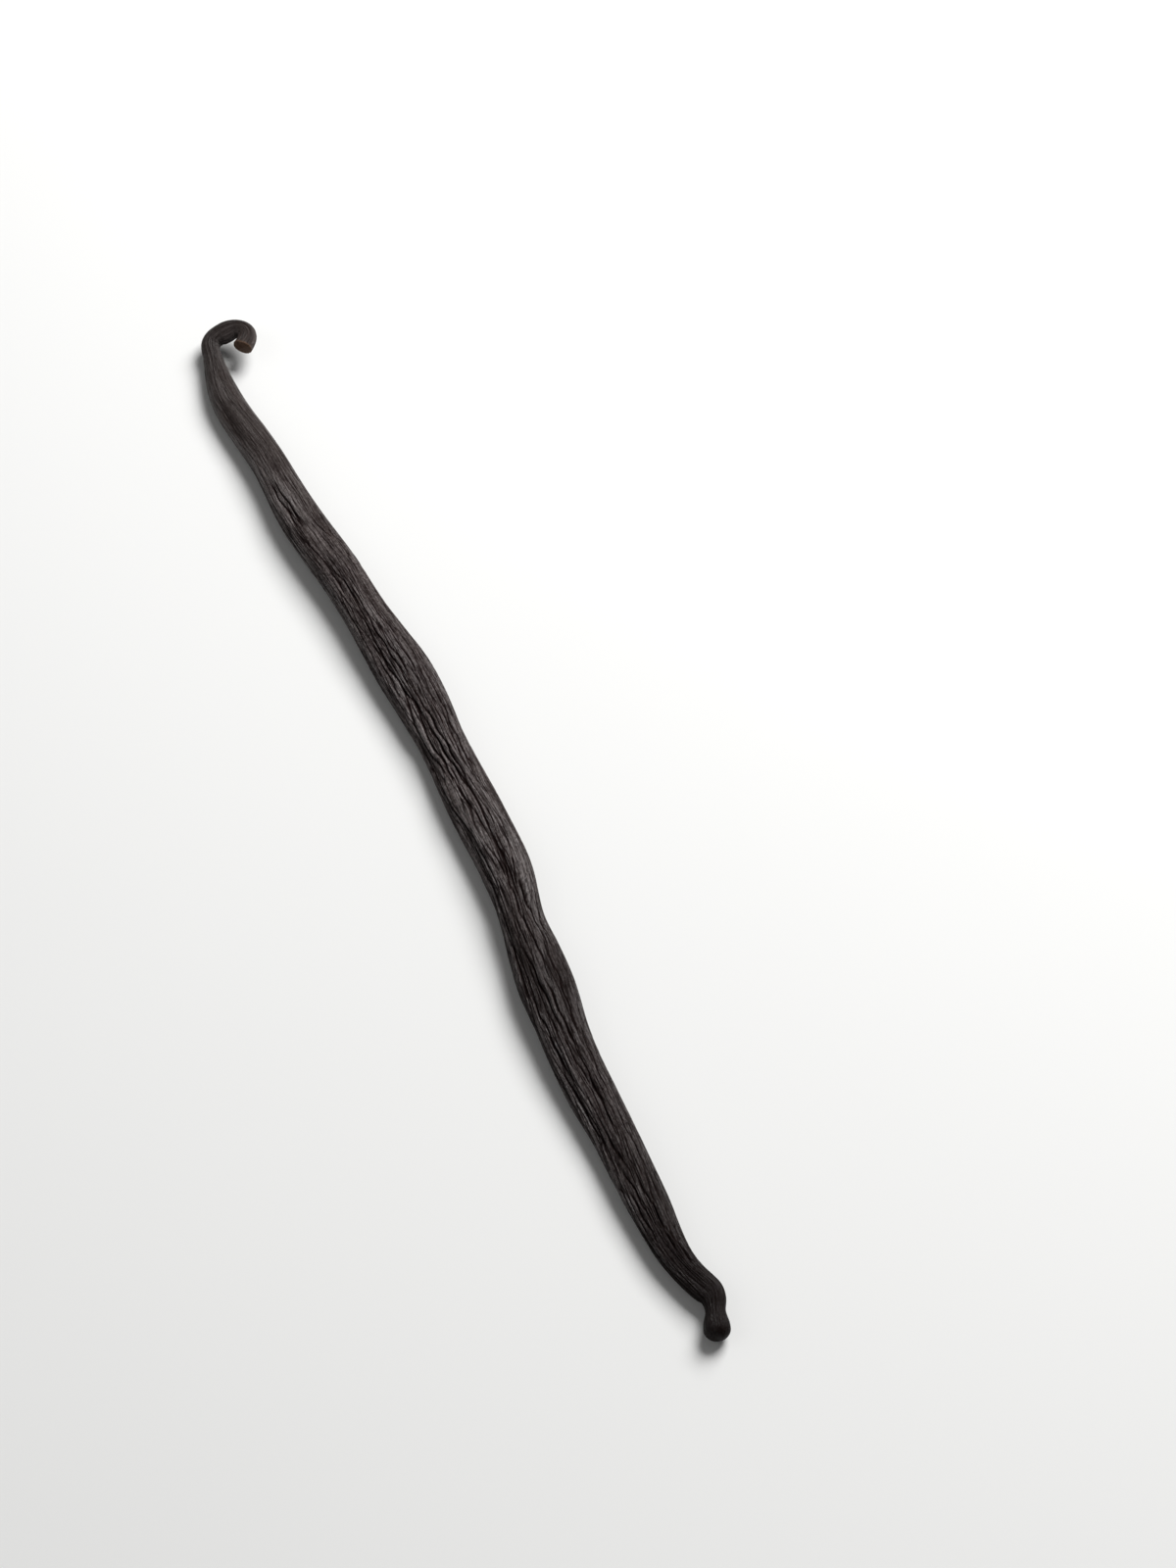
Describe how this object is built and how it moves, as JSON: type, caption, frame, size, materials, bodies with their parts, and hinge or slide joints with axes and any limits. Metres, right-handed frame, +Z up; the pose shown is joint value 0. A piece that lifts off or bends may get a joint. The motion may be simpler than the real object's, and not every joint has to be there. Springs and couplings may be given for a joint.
{
  "type": "vanilla pod",
  "caption": "Cured vanilla pod: long, slender, flattened and dark brown, with lengthwise folds, a hooked stem with a cut end, and a round knob on a short neck.",
  "frame": {"origin": "centre of the pod's bounding box, on the surface that it lies on", "axes": "+X along the pod from its hooked stem to its round knob, +Z up, away from the surface that it lies on"},
  "size_m": [0.1788, 0.0112, 0.0048],
  "materials": {
    "cured_skin": "cured pod skin: brown-black, wrinkled lengthwise, with a soft oily sheen"
  },
  "bodies": {
    "root": {"pod": "cured_skin"}
  },
  "joints": []
}
